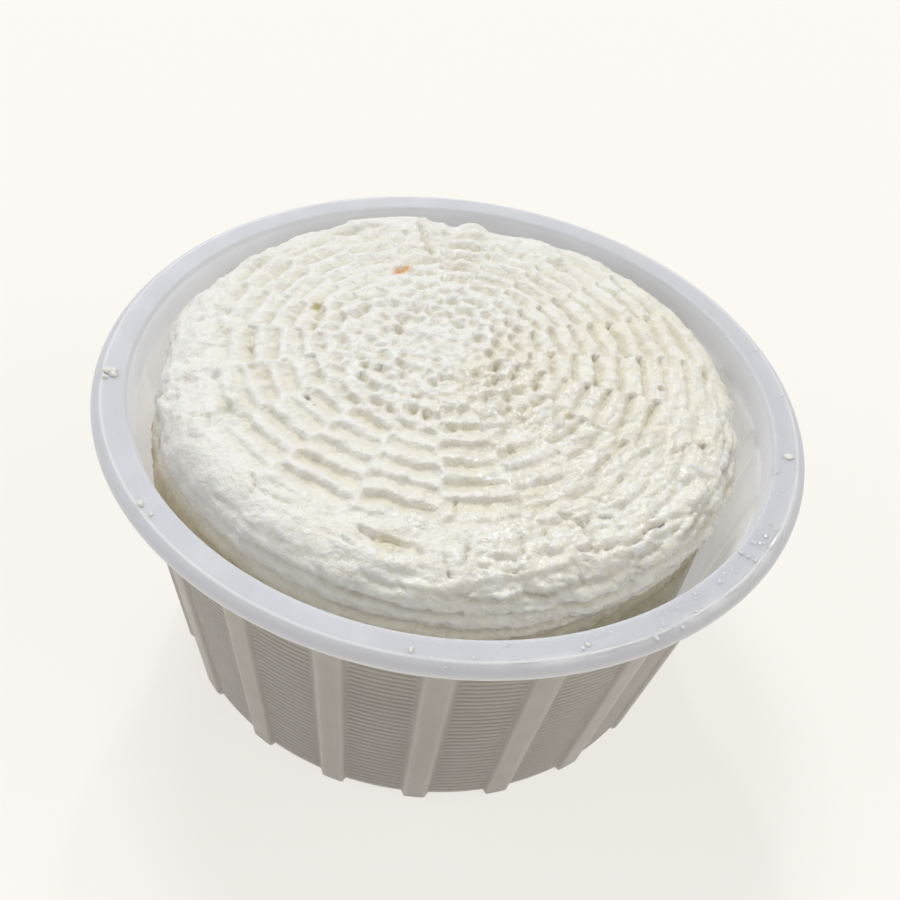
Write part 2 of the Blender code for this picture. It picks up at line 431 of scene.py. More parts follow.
# Places along the crack, its width and its depth
CRACKS = (
    (((417, 213), (422, 228), (430, 244), (433, 256)), 0.80, 1.2),
    (((252, 478), (262, 494), (276, 499), (290, 504), (305, 511)), 0.40, 0.9),
    (((180, 417), (194, 413), (204, 419), (207, 430)), 0.50, 0.8),
    (((363, 530), (384, 541), (402, 545), (420, 551)), 0.75, 1.4),
    (((345, 537), (350, 547)), 0.40, 0.8),
    (((457, 488), (458, 520)), 0.35, 0.5),
    (((467, 550), (463, 563)), 0.60, 1.1),
    (((444, 560), (451, 577)), 0.45, 0.9),
    (((560, 515), (578, 520), (588, 525), (600, 519), (614, 521), (622, 532)), 0.45, 1.1),
    (((587, 524), (590, 541), (587, 560)), 0.35, 0.8),
    (((578, 551), (596, 549), (615, 545), (634, 540), (650, 529), (664, 521)), 0.60, 1.2),
    (((603, 506), (613, 497), (628, 491)), 0.40, 0.6),
    (((668, 463), (676, 448), (690, 443), (702, 447), (714, 445), (723, 435)), 0.50, 1.1),
    (((690, 524), (697, 533), (701, 539)), 0.50, 1.0),
    (((220, 320), (226, 334)), 0.45, 0.9),
    (((246, 338), (249, 352)), 0.35, 0.6),
    (((549, 532), (551, 545)), 0.50, 0.8),
    (((520, 530), (524, 548), (516, 560)), 0.35, 0.7),
    (((645, 566), (632, 573), (618, 585)), 0.40, 0.8),
    (((480, 566), (500, 573), (520, 569)), 0.40, 0.8),
)

# Place, reach and depth
PITS = (
    ((402, 270), 0.8, 0.9),
    ((317, 305), 0.9, 0.9),
    ((308, 396), 0.8, 0.8),
    ((253, 367), 0.9, 0.7),
    ((416, 396), 0.8, 0.7),
    ((571, 414), 1.1, 1.0),
    ((705, 375), 1.0, 1.2),
    ((660, 388), 0.7, 1.0),
    ((597, 425), 0.7, 0.7),
    ((705, 446), 1.1, 1.0),
    ((732, 484), 0.9, 1.4),
    ((240, 406), 1.0, 0.6),
    ((226, 409), 1.4, 0.5),
)

# Place, reach along the rim and up the section, height
LUMPS = (
    ((498, 547), 4.6, 2.6, 0.7),
    ((568, 542), 4.8, 3.4, 0.8),
    ((616, 558), 4.2, 2.0, 0.7),
    ((673, 541), 3.8, 2.2, 0.7),
    ((643, 583), 3.4, 1.6, 0.6),
    ((605, 533), 3.6, 2.0, 0.5),
    ((640, 508), 4.0, 2.4, 0.5),
    ((700, 462), 3.2, 3.6, 0.6),
    ((712, 425), 3.0, 3.0, 0.5),
    ((395, 527), 5.0, 1.8, 0.6),
    ((335, 528), 4.0, 2.0, 0.4),
    ((400, 565), 5.0, 1.6, 0.5),
    ((430, 590), 5.5, 1.5, 0.5),
    ((500, 599), 6.0, 1.3, 0.5),
    ((555, 585), 5.0, 1.6, 0.5),
    ((340, 570), 5.0, 1.6, 0.4),
    ((200, 424), 3.4, 2.4, 0.5),
    ((205, 330), 3.0, 4.0, 0.4),
)

# Stains, and the painted shade of a gap at the cheese's edge: place, reach in millimetres, colour, strength
STAINS_AND_SHADE = (
    ((401, 271), 1.8, (0.70, 0.33, 0.08), 1.0),
    ((406, 270), 1.4, (0.78, 0.46, 0.16), 0.95),
    ((317, 304), 1.4, (0.46, 0.38, 0.10), 0.92),
    ((316, 308), 1.1, (0.50, 0.42, 0.14), 0.85),
    ((308, 396), 0.8, (0.22, 0.20, 0.16), 0.9),
    ((314, 404), 0.45, (0.30, 0.27, 0.24), 0.8),
    ((253, 367), 1.2, (0.58, 0.52, 0.38), 0.7),
    ((416, 396), 1.0, (0.58, 0.50, 0.34), 0.8),
    ((571, 414), 1.4, (0.56, 0.47, 0.26), 0.8),
    ((705, 375), 1.1, (0.56, 0.47, 0.28), 0.8),
    ((660, 388), 0.8, (0.54, 0.45, 0.28), 0.8),
    ((597, 425), 0.9, (0.62, 0.55, 0.40), 0.7),
    ((705, 446), 1.6, (0.62, 0.56, 0.42), 0.6),
    ((232, 407), 2.6, (0.62, 0.61, 0.50), 0.6),
    # Painted shade: a near-black mark where the gap to the wall shows at the cheese's edge
    ((732, 484), 0.8, (0.16, 0.17, 0.20), 0.9),
    ((390, 544), 3.0, (0.66, 0.60, 0.38), 0.5),
)

# Place and reach of what is smeared flat
SMEARS = (
    ((188, 430), 5.0),
    ((190, 450), 6.0),
    ((205, 470), 5.0),
    ((175, 405), 3.5),
)


def surface_finder(points, outward):
    """A function that gives the point of the surface that shows at a place in the picture."""
    shows = np.einsum("ij,ij->i", outward, CAMERA_PLACE - points) > 0
    picture = to_picture(points)

    def find(spot):
        off = np.hypot(picture[:, 0] - spot[0], picture[:, 1] - spot[1]) + np.where(shows, 0.0, 1e6)
        return points[np.argmin(off)]

    return find


def segment_distance(points, start, end):
    """Distance from each point to the straight line between two places."""
    line = end - start
    share = np.clip((points - start) @ line / max(line @ line, 1e-9), 0.0, 1.0)
    return np.linalg.norm(points - (start + share[:, None] * line), axis=1)


def print_place(points):
    """Place in the print: radius, direction, sector, place across the sector, and the chord's radius."""
    place = points[:, :2] - PRINT_CENTRE
    middle = 1.0 - smooth(np.hypot(place[:, 0], place[:, 1]), 14.0, 30.0)
    place = place + 0.55 * drift(points, 13.0, (5, 6)) + 0.50 * drift(points, 4.6, (7, 8))
    place += 0.30 * drift(points, 2.1, (9, 10)) + 0.9 * middle[:, None] * drift(points, 5.2, (11, 12))
    radius = np.hypot(place[:, 0], place[:, 1])
    facing = facing_of(place)
    turn = facing - 6.4 * np.sin(np.radians(facing - 6.4 * np.sin(np.radians(facing))))
    sector = (turn + 12.0) / SECTOR
    number = np.floor(sector)
    across = sector - number - 0.5
    chord = radius * (0.5 + 0.5 * np.cos(np.radians(across * SECTOR)))
    return radius, facing, number.astype(int) % SECTORS, across, chord


def print_drift(facing):
    """How far the bricks of one ring drift against the next, in bricks, as the direction goes round."""
    back = np.where(facing < -100.0, facing + 360.0, facing)
    front = smooth(facing, -25.0, 25.0) * (facing > -100.0) + (facing <= -100.0)
    return 0.5 * front - 0.5 * smooth(back, 150.0, 215.0) * (back > 100.0)


def top_relief(points, along):
    """Print of the basket's base: bricks in rings, each deepest at its inner edge and rising outwards."""
    radius, facing, number, across, chord = print_place(points)
    rng = np.random.default_rng(11)
    brick_table = rng.uniform(-1.0, 1.0, (SECTORS, 16, 4))
    phase = 0.5 * (number % 2) + print_drift(facing)
    place = chord / PRINT_PITCH - phase + 0.2 + 0.05 * lattice(points, 2.6, 13)
    ring = np.floor(place).astype(int)
    brick = brick_table[number, ring % 16]
    part = place - ring
    narrow = 1.0 - smooth(radius, 24.0, 36.0)
    right = between(facing, 32.0, 50.0, 130.0, 150.0) * smooth(radius, 16.0, 26.0)
    puffed = np.maximum(0.9 * right, 0.4 * (1.0 - smooth(facing, -75.0, -55.0)))
    drop = smooth(part, 0.0, 0.15)
    rise = smooth(part, 0.27 - 0.08 * narrow + 0.06 * brick[:, 1], 0.86 - 0.22 * narrow)
    arc = radians(SECTOR) * radius
    wobble = 0.35 * lattice(points, 2.4, 14)
    from_joint = (0.5 - np.abs(across)) * arc + wobble
    front = between(facing, -48.0, -30.0, 12.0, 30.0) * smooth(radius, 24.0, 32.0)
    soft = (1.0 - front) * (0.5 + 0.07 * arc)
    ridge = (0.46 + 0.22 * brick[:, 3] + 0.34 * front) * (1.0 - 0.55 * right)
    ridge = ridge * (1.0 - smooth(from_joint, 0.0, 0.75 + 0.06 * arc + soft))
    inside = between(radius, 12.0, 16.0, 27.0, 35.0)
    left = smooth(-facing, 55.0, 75.0) * smooth(radius, 24.0, 30.0)
    half = np.clip(0.75 * inside + 0.45 * left + 0.10, 0.0, 0.85) * (0.75 + 0.25 * brick[:, 0])
    ridge = np.maximum(ridge, half * (1.0 - smooth(np.abs(across) * arc + wobble, 0.1, 0.95 + 0.03 * arc)))
    flat = drop * (1.0 - rise)
    from_groove = np.minimum(np.abs(part - 0.13), np.abs(part - 1.13))
    puffy = np.exp(-((from_groove / (0.11 + 0.03 * brick[:, 1])) ** 2))
    puffy = np.minimum(puffy + 0.32 * (1.0 - np.sin(pi * ((part - 0.13) % 1.0))), 1.1)
    slot = (flat * (1.0 - puffed) + puffy * puffed) * (1.0 - np.clip(ridge, 0.0, 1.0))
    patch = 1.0 + 0.30 * lattice(points, 8.0, 15)
    inmost = 1.0 - smooth(radius, 16.0, 30.0)
    patch = patch * (1.0 + 0.55 * inmost * lattice(points, 3.1, 17))
    depth = PRINT_DEPTH * (1.0 + 0.22 * brick[:, 2]) * patch
    depth = depth * smooth(radius, 6.0, 13.0) * (1.0 + 0.18 * smooth(facing, 45.0, 70.0) - 0.12 * front)
    worn_left = smooth(radius, 45.0, 53.0) * smooth(-facing, 55.0, 70.0) * smooth(facing, -110.0, -94.0)
    worn_back = smooth(radius, 44.0, 56.0) * smooth(np.abs(facing), 138.0, 156.0)
    crumbly = smooth(radius, 22.0, 32.0) * between(facing, 14.0, 32.0, 66.0, 84.0)
    front_edge = smooth(radius, 52.0, 58.0) * (1.0 - smooth(np.abs(facing), 80.0, 110.0))
    depth = depth * (1.0 - 0.8 * worn_left) * (1.0 - 0.35 * worn_back) * (1.0 - 0.35 * crumbly)
    depth = depth * (1.0 - 0.7 * front_edge)
    depth = depth * (1.0 - smooth(along, DOME_RADIUS - 2.0, DOME_RADIUS + 3.0))
    near = cells(points * np.array([1.0, 1.0, 0.35]), 3.3, 21)[0]
    inner = 1.0 - smooth(radius, 8.0, 22.0)
    pits = (1.0 - smooth(near, 0.10, 0.55)) * (0.25 + 0.75 * inner) * (1.0 - smooth(radius, 28.0, 38.0))
    beads = (0.42 + 0.42 * inner) * lattice(points, 2.7, 16) * (1.0 - 0.75 * slot)
    knob, _, size = cells(points, 2.9, 22)
    knobs = np.sqrt(np.clip(1.0 - (knob / (0.42 + 0.3 * size)) ** 2, 0.0, 1.0))
    relief = -depth * slot - 0.90 * pits + beads + (0.65 * knobs - 0.2) * (1.0 - smooth(radius, 20.0, 34.0))
    # Share of painted shade in the slots and pits
    hollow_shade = slot * np.clip(depth / PRINT_DEPTH, 0.0, 1.2) + 0.8 * pits
    return relief, hollow_shade, crumbly, worn_left + worn_back


def side_relief(points, along, direction):
    """Print of the basket's louvres: long rounded lumps between grooves, crumbled along their lower edges."""
    facing = np.degrees(direction) + 90.0
    sway = 0.7 * lattice(points, 14.0, 31) + 0.60 * lattice(points, 4.5, 32) + 0.42 * lattice(points, 2.1, 35)
    shift = 3.0 * lattice(points, 9.0, 36)
    sector = (facing + 12.0 + shift) / SECTOR
    number = np.floor(sector).astype(int) % SECTORS
    across = sector - np.floor(sector) - 0.5
    table = np.random.default_rng(33).uniform(-1.0, 1.0, (SECTORS, 16, 3))
    place = (along - SHOULDER_END + sway) / SIDE_PITCH + 0.5 + 0.16 * table[number, 0, 0]
    row = np.floor(place).astype(int)
    part = place - row
    brick = table[number, row % 16]
    drop = smooth(part, 0.30, 0.46)
    rise = smooth(part, 0.52 + 0.06 * brick[:, 0], 0.86)
    groove = drop * (1.0 - rise)
    joint = 1.0 - smooth((0.5 - np.abs(across)) * radians(SECTOR) * SIDE_RADIUS, 0.1, 1.5)
    patch = np.clip(0.90 + 0.55 * lattice(points, 10.0, 37), 0.35, 1.3)
    strength = smooth(along, SHOULDER_END - 7.0, SHOULDER_END)
    around = facing_of(points)
    calm = 1.0 - 0.80 * np.exp(-(((around + 52.0) / 28.0) ** 2))
    relief = -SIDE_DEPTH * (0.9 + 0.3 * brick[:, 1]) * patch * groove * (1.0 - 0.6 * joint)
    relief = relief + 0.28 * brick[:, 2] * (1.0 - groove) - 0.25 * joint * (1.0 - groove)
    # The second value is the share of painted shade in the grooves
    return relief * strength * calm, 1.35 * groove * strength * patch * calm


def cheese_material():
    """Moist curd: creamy patches and specks, a painted highlight on peaks, and yellow painted shade in
    hollows and where whey stands.
    """
    look = Look("curd")
    patches = look.ramp(look.noise(55.0, 3.0, 0.55), 0.35, 0.65, 0.0, 1.0)
    colour = look.mix(patches, CREAM, CHALK)
    specks = look.ramp(look.noise(420.0, 3.0, 0.6), 0.54, 0.72, 0.0, 0.35)
    colour = look.mix(specks, colour, BUFF)
    # Painted light and shade: a warmer light from the front round to the right, a highlight on peaks, shade
    # in hollows, and shade with the whey low down
    for label, lit_and_shaded_tone in (("warm_light", WARM_LIGHT), ("peak_highlight", PEAK_HIGHLIGHT), ("hollow_shade", HOLLOW_SHADE), ("damp_and_shade", DAMP_AND_SHADE)):
        colour = look.mix(look.attribute(label), colour, lit_and_shaded_tone)
    colour = look.mix(look.attribute("stain_and_shade"), colour, look.attribute("tint", "Color"))
    look.feed("Base Color", colour)

    # Gloss, with a coat of whey on the wet side
    sheen = look.noise(160.0, 2.0, 0.6)
    wet = look.attribute("wet")
    moist = look.ramp(sheen, 0.35, 0.7, 0.30, 0.58)
    glossy = look.ramp(sheen, 0.35, 0.7, 0.10, 0.36)
    look.feed("Roughness", look.mix(wet, moist, glossy, "FLOAT"))
    look.feed("Coat Weight", look.ramp(wet, 0.0, 1.0, 0.0, 0.9))
    look.feed("Coat Roughness", 0.10)
    look.feed("Specular IOR Level", 0.45)
    look.feed("Subsurface Weight", 0.25)
    look.feed("Subsurface Radius", (1.0, 0.8, 0.55))
    look.feed("Subsurface Scale", 0.0009)

    # Grain, and curds the size of sand on it
    grain = look.bump(look.noise(1000.0, 3.0, 0.62), 0.8, 0.00055)
    sand = look.nodes.new("ShaderNodeTexVoronoi")
    sand.inputs["Scale"].default_value = 760.0
    look.links.new(look.place, sand.inputs["Vector"])
    rough = look.bump(sand.outputs["Distance"], 0.4, 0.00035, grain)
    rough.invert = True
    look.feed("Normal", rough.outputs["Normal"])
    look.feed("Coat Normal", rough.outputs["Normal"])
    return look.material


def smear_share(points, find):
    """1 where the print is smeared flat."""
    share = np.zeros(len(points))
    for spot, reach in SMEARS:
        away = np.linalg.norm(points - find(spot), axis=1)
        share = np.maximum(share, np.exp(-((away / reach) ** 2)))
    return share


def right_share(around):
    """1 on the cheese's right side, which is wetter and more torn."""
    return between(around, -20.0, 20.0, 80.0, 110.0)


def uneven_relief(points, along, around, keep, crumbly, worn):
    """Swells, lumps the size of curds, torn shreds and grain, and a share that is 1 on what stands out, for a
    painted highlight.
    """
    zone = smooth(along, DOME_RADIUS - 9.0, DOME_RADIUS)
    zone = zone * (1.0 - 0.75 * smooth(along, SHOULDER_END, SHOULDER_END + 7.0))
    right_side = right_share(around)
    left_back = smooth(np.abs(around + 115.0), 75.0, 45.0)
    rough = np.clip(0.35 + 0.65 * crumbly + zone * (0.25 + 0.55 * right_side), 0.0, 1.3) * keep
    partly = 0.3 + 0.7 * keep
    relief = 0.50 * lattice(points, 19.0, 41)
    relief += (0.16 + 0.42 * zone + 0.45 * zone * left_back) * lattice(points, 5.0, 42) * partly
    relief += worn * (0.75 * lattice(points, 4.6, 45) - smooth(lattice(points, 2.7, 46), 0.40, 0.75))
    relief += (0.17 + 0.20 * rough) * fractal(points, 3.4, 43, 2)
    grains = (0.26 + 0.26 * rough + 0.12 * worn) * (0.55 - cells(points, 2.1, 52)[0]) * partly
    relief += grains

    # Shreds follow the rings of the print
    from_centre = points[:, :2] - PRINT_CENTRE
    turn = np.radians(facing_of(from_centre))
    reach = np.hypot(from_centre[:, 0], from_centre[:, 1])
    shreds = np.stack([reach * 1.9, turn * 31.0, points[:, 2] * 1.5], -1)
    shreds += 0.5 * lattice(points, 3.0, 54)[:, None]
    near, far, label = cells(shreds, 6.2, 53)
    chunk = 1.1 * (label - 0.5) - 0.9 * (1.0 - smooth(far - near, 0.0, 0.26)) * (label > 0.3)
    shred_zone = np.clip(crumbly + 0.8 * zone * right_side, 0.0, 1.0)
    shred_zone = shred_zone * (1.0 - smooth(along, SHOULDER_END - 2.0, SHOULDER_END + 4.0))
    relief += 0.80 * shred_zone * chunk * keep
    relief += 0.30 * shred_zone * lattice(shreds, 3.4, 55)

    fine = fractal(points, 1.9, 47, 2)
    relief += 0.20 * (0.6 + 0.6 * rough) * fine
    standing = smooth(1.6 * grains + 0.28 * fine + 0.25 * lattice(points, 4.1, 49), 0.0, 0.45)
    return relief, standing


def fray(points):
    """Points moved about, so that a mark drawn round them has torn edges."""
    return points + drift(points, 3.4, (61, 62, 64)) + 0.40 * drift(points, 1.5, (66, 68, 69))


def carve_marks(points, find, relief, hollow_shade):
    """Relief and painted shade in hollows with the cracks, pits and lumps that are read off the picture."""
    frayed = fray(points)
    for line, width, depth in CRACKS:
        ends = [find(spot) for spot in line]
        distance = np.full(len(points), 1e3)
        for first, last in zip(ends, ends[1:]):
            distance = np.minimum(distance, segment_distance(frayed, first, last))
        width_here = 0.85 * width * (1.0 + 0.30 * lattice(points, 2.7, 70))
        cut = np.exp(-((distance / width_here) ** 2))
        lip = np.exp(-(((distance - 1.4) / 1.1) ** 2))
        relief = relief - 1.35 * depth * cut + 0.30 * depth * lip
        # Painted shade in the crack
        hollow_shade = np.clip(hollow_shade + 0.9 * cut, 0.0, 1.3)
    for spot, reach, depth in PITS:
        distance = np.linalg.norm(points + 0.6 * (frayed - points) - find(spot), axis=1)
        relief = relief - depth * np.exp(-((distance / reach) ** 3))
    for spot, wide, tall, height in LUMPS:
        middle = find(spot)
        away = frayed - middle
        tangent = np.array([-middle[1], middle[0], 0.0]) / np.hypot(middle[0], middle[1])
        sideways = away @ tangent
        rest = np.linalg.norm(away - sideways[:, None] * tangent, axis=1)
        reach = np.sqrt((sideways / wide) ** 2 + (rest / tall) ** 2)
        lump = np.exp(-(reach**4)) - 0.4 * np.exp(-(((reach - 1.25) / 0.22) ** 2))
        relief = relief + height * lump
    return relief, hollow_shade


def displaced(points, outward, along, relief):
    """Points with the relief, which reach neither past the solids nor into the basket's wall."""
    relief = np.clip(relief + 0.12, -DEEPEST_MARK, TALLEST_MARK)
    fade = smooth(along, SIDE_END - 5.0, SIDE_END - 1.0)
    relief = relief * (1.0 - fade) - 0.25 * fade
    shaped = points + outward * relief[:, None]
    shaped[:, 2] = np.minimum(shaped[:, 2], HIGHEST)
    reach = np.hypot(shaped[:, 0], shaped[:, 1])
    room = wall_radius(INNER, shaped[:, 2]) - WALL_GAP
    shaped[:, :2] *= np.minimum(1.0, room / np.maximum(reach, 1.0))[:, None]
    return shaped


def stain_and_shade_marks(points, find):
    """How strong the stains and the painted shade of the gap are at each point, and their colour."""
    stain_and_shade = np.zeros(len(points))
    tint = np.zeros((len(points), 3))
    for spot, reach, colour, strength in STAINS_AND_SHADE:
        distance = np.linalg.norm(points - find(spot), axis=1) + 0.35 * reach * lattice(points, 0.9, 65)
        share = strength * np.exp(-((np.maximum(distance, 0.0) / reach) ** 3))
        tint = np.where((share > stain_and_shade)[:, None], np.array(colour), tint)
        stain_and_shade = np.maximum(stain_and_shade, share)
    return stain_and_shade, tint


def wet_shares(points, around):
    """Shares of standing whey darkened by painted shade low down and at the front left, of a painted warmer
    light from the front round to the right, and of gloss.
    """
    height = points[:, 2]
    low = 1.0 - smooth(height + 2.5 * lattice(points, 14.0, 67), 58.0, 77.0)
    left = np.exp(-(((around + 40.0) / 28.0) ** 2))
    left = left * (1.0 - smooth(height + lattice(points, 9.0, 71), 66.0, 75.0))
    damp_and_shade = np.clip(0.78 * low + 0.60 * left, 0.0, 1.0)
    warm_light = 0.75 * smooth(around, -60.0, 40.0) * (1.0 - smooth(np.abs(around), 120.0, 170.0))
    gloss = 0.35 + 0.65 * smooth(lattice(points, 7.0, 72), -0.3, 0.5)
    return damp_and_shade, warm_light, np.clip(right_share(around) * gloss, 0.0, 1.0)


def add_hidden_part(vertices, faces, last_ring, angles):
    """Close the cheese where nothing shows: rings down the wall to the floor, and its underside."""
    previous = last_ring
    for height, inset in (
        (CONTACT_HEIGHT - 6.0, 0.0),
        (FLOOR_HEIGHT + 14.0, 0.0),
        (FLOOR_HEIGHT + 1.2, 0.0),
        (FLOOR_HEIGHT, 1.2),
    ):
        radius = wall_radius(INNER, height + inset) - 0.45 - inset
        start = len(vertices)
        for angle in angles:
            reach = radius - side_hollow(angle, height)
            vertices.append(np.array([reach * cos(angle), reach * sin(angle), height]))
        for a in range(COLUMNS):
            b = (a + 1) % COLUMNS
            faces.append((previous + a, start + a, start + b, previous + b))
        previous = start
    hub = len(vertices)
    vertices.append(np.array([0.0, 0.0, FLOOR_HEIGHT]))
    faces.extend((previous + (a + 1) % COLUMNS, previous + a, hub) for a in range(COLUMNS))


def make_cheese(curd):
    points, outward, along, direction, starts, columns = cheese_base()
    find = surface_finder(points, outward)
    around = facing_of(points)
    on_top = along < DOME_RADIUS + 3.0
    top, top_groove_shade, crumbly, worn = top_relief(points, along)
    side, side_groove_shade = side_relief(points, along, direction)
    # Painted shade in the print's grooves and hollows, and a painted highlight on what stands out
    hollow_shade = np.clip(np.where(on_top, top_groove_shade, 0.0) + 0.8 * side_groove_shade, 0.0, 1.2)
    keep = 1.0 - 0.85 * smear_share(points, find)
    uneven, standing = uneven_relief(points, along, around, keep, crumbly, worn)
    peak_highlight = 0.75 * standing * (1.0 - np.clip(hollow_shade, 0.0, 1.0))
    relief = (np.where(on_top, top, 0.0) + side) * keep + uneven
    relief, hollow_shade = carve_marks(points, find, relief, hollow_shade)
    shaped = displaced(points, outward, along, relief)
    stain_and_shade, tint = stain_and_shade_marks(points, find)
    damp_and_shade, warm_light, wet = wet_shares(points, around)

    vertices = list(shaped)
    faces = ring_faces(starts, columns)
    crown = shaped[: columns[0], 2].mean()
    hub = len(vertices)
    vertices.append(np.array([CENTRE[0], CENTRE[1], crown]))
    faces += [(i, (i + 1) % columns[0], hub) for i in range(columns[0])]
    add_hidden_part(vertices, faces, starts[-1], direction[starts[-1] :])

    # The crown's point and the hidden part have plain values
    extra = len(vertices) - len(points)
    values = []
    for label, shares, plain in (
        ("hollow_shade", 0.65 * hollow_shade, 0.0),
        ("damp_and_shade", damp_and_shade, 0.4),
        ("wet", wet, 0.0),
        ("warm_light", warm_light, 0.5),
        ("stain_and_shade", stain_and_shade, 0.0),
        ("peak_highlight", peak_highlight, 0.0),
    ):
        values.append((label, np.concatenate([shares, np.full(extra, plain)])))
    tint = np.concatenate([tint, np.zeros((extra, 3))])
    made = make_object("cheese", vertices, faces, curd, colours=[("tint", tint)], values=values)
    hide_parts("ricotta")
    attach(made, "root")


# Basket


def from_rib(directions):
    """Degrees from each direction to the middle of the nearest rib."""
    half = RIB_SPACING / 2
    return np.abs((directions - RIB_PHASE + half) % RIB_SPACING - half)


def rib_share(directions):
    """1 on a rib and 0 on a panel, with rounded flanks."""
    return 1.0 - smooth(from_rib(directions), 2.1, 3.0)


def panel_share(directions):
    """1 where a panel's louvres are, and 0 near and on the ribs."""
    return smooth(from_rib(directions), 3.15, 3.6)


def basket_directions():
    """Directions of the basket's columns, closer together on the ribs' flanks."""
    half_rib = (0.0, 1.1, 2.1, 2.4, 2.7, 3.0, 3.3)
    panel = (3.7, 5.2, 7.1, 9.0, 10.9, 12.8, 14.3)
    steps = (*[-step for step in reversed(half_rib[1:])], *half_rib, *panel)
    return np.array([RIB_PHASE + RIB_SPACING * rib + step for rib in range(RIB_COUNT) for step in steps])


# The flange's outline from its lower inner corner round the lip to the mouth, as radius, height over its
# underside and shade number
FLANGE = (
    (82.6, 0.05, 1.0),
    (83.2, -0.35, 1.0),
    (83.9, -1.0, 1.0),
    (84.3, -1.15, 1.5),
    (84.72, -1.05, 1.5),
    (RIM_RADIUS, -0.7, 2.0),
    (RIM_RADIUS, -0.35, 2.0),
    (84.7, 0.15, 2.0),
    (84.35, 0.7, 2.0),
    (83.9, 1.2, 2.0),
    (83.5, 1.5, 2.0),
    (83.05, 1.78, 2.0),
    (82.75, 1.93, 2.1),
    (82.45, 1.95, 2.1),
    (82.1, 1.86, 2.0),
    (80.8, 1.86, 2.0),
    (79.2, 1.86, 2.0),
    (78.2, 1.90, 2.0),
    (77.6, 1.92, 2.0),
    (77.25, 1.84, 2.0),
    (77.02, 1.60, 2.2),
    (76.90, 1.20, 2.6),
    (76.82, 0.5, 3.0),
)


def basket_section(directions):
    """Rings from under the floor round the flange to the floor's top: radius, height and shade number."""
    rib = rib_share(directions)
    panel = panel_share(directions)
    ones = np.ones(len(directions))
    rings = []

    def add(shade, rib_point, panel_point=None):
        """One ring through a point on the ribs and one on the panels, each a radius and a height."""
        on_panel = panel_point or rib_point
        radius = rib * rib_point[0] + (1.0 - rib) * on_panel[0]
        height = rib * rib_point[1] + (1.0 - rib) * on_panel[1]
        rings.append((radius, height, shade * ones))

    # Underside, with a foot below each rib
    foot_outer = wall_radius(RIB_OUTER, 0.0)
    foot_inner = foot_outer - 4.6
    for radius in (6.0, 20.0, 40.0, foot_inner - 3.0, foot_inner - 0.6):
        add(0.0, (radius, FOOT))
    add(0.0, (foot_inner, 0.3), (foot_inner, FOOT))
    add(0.0, (foot_inner + 0.4, 0.0), (foot_inner + 0.4, FOOT))
    add(0.0, (foot_outer - 1.5, 0.0), (foot_outer - 2.6, FOOT))
    add(0.0, (foot_outer - 0.6, 0.25), (foot_outer - 1.9, FOOT + 0.05))
    add(0.0, (foot_outer - 0.1, 0.9), (foot_outer - 1.2, FOOT + 0.35))
    add(0.0, (wall_radius(RIB_OUTER, 1.8), 1.8), (wall_radius(PANEL_OUTER, 3.0), FOOT + 1.0))

    # Outer wall, with louvres between the ribs
    louvre_start = 4.0
    louvre_end = RIM_HEIGHT - COLLAR - 1.6
    for i in range(int((louvre_end - louvre_start) / LOUVRE_PITCH)):
        base = louvre_start + i * LOUVRE_PITCH
        for part, cut in ((0.0, 0.0), (0.10, 1.0), (0.34, 1.0), (0.50, 0.25)):
            height = base + part * LOUVRE_PITCH
            outer = wall_radius(PANEL_OUTER, height) - LOUVRE_DEPTH * cut * panel
            add(1.0, (wall_radius(RIB_OUTER, height), height), (outer, height))

    # Collar and flange
    collar = RIM_HEIGHT - COLLAR
    collar_radius = wall_radius(RIB_OUTER, collar)
    add(1.0, (collar_radius, collar - 0.8), (wall_radius(PANEL_OUTER, collar - 0.8), collar - 0.8))
    add(1.0, (collar_radius + 0.05, collar - 0.2), (collar_radius - 0.25, collar - 0.3))
    add(1.0, (collar_radius + 0.1, collar + 0.4))
    under = RIM_HEIGHT - FLANGE_THICKNESS
    neck = wall_radius(RIB_OUTER, under - 0.4)
    inner_corner = ((neck, -0.6, 1.0), (neck + 0.35, -0.05, 1.0), (neck + 1.0, 0.05, 1.0))
    for radius, rise, shade in (*inner_corner, *FLANGE):
        add(shade, (radius, under + rise))

    # Inner wall, a ledge below the collar, and the floor's top
    for height in np.linspace(under - 0.6, collar + 0.3, 6):
        add(3.0, (wall_radius(INNER + 0.2, height), height))
    ledge = collar - 0.1
    add(3.5, (wall_radius(INNER + 0.25, ledge), ledge), (wall_radius(INNER, ledge), ledge))
    for height in (*np.linspace(collar - 0.7, 46.0, 18), *np.linspace(40.0, 4.6, 7)):
        radius = wall_radius(INNER, height)
        add(4.0, (radius + 0.55, height), (radius, height))
    floor = FOOT + FLOOR_THICKNESS
    radius = wall_radius(INNER, floor)
    add(4.0, (radius - 0.35, floor + 0.35))
    add(4.0, (radius - 1.2, floor))
    for radius in (40.0, 20.0, 6.0):
        add(4.0, (radius, floor))
    return rings


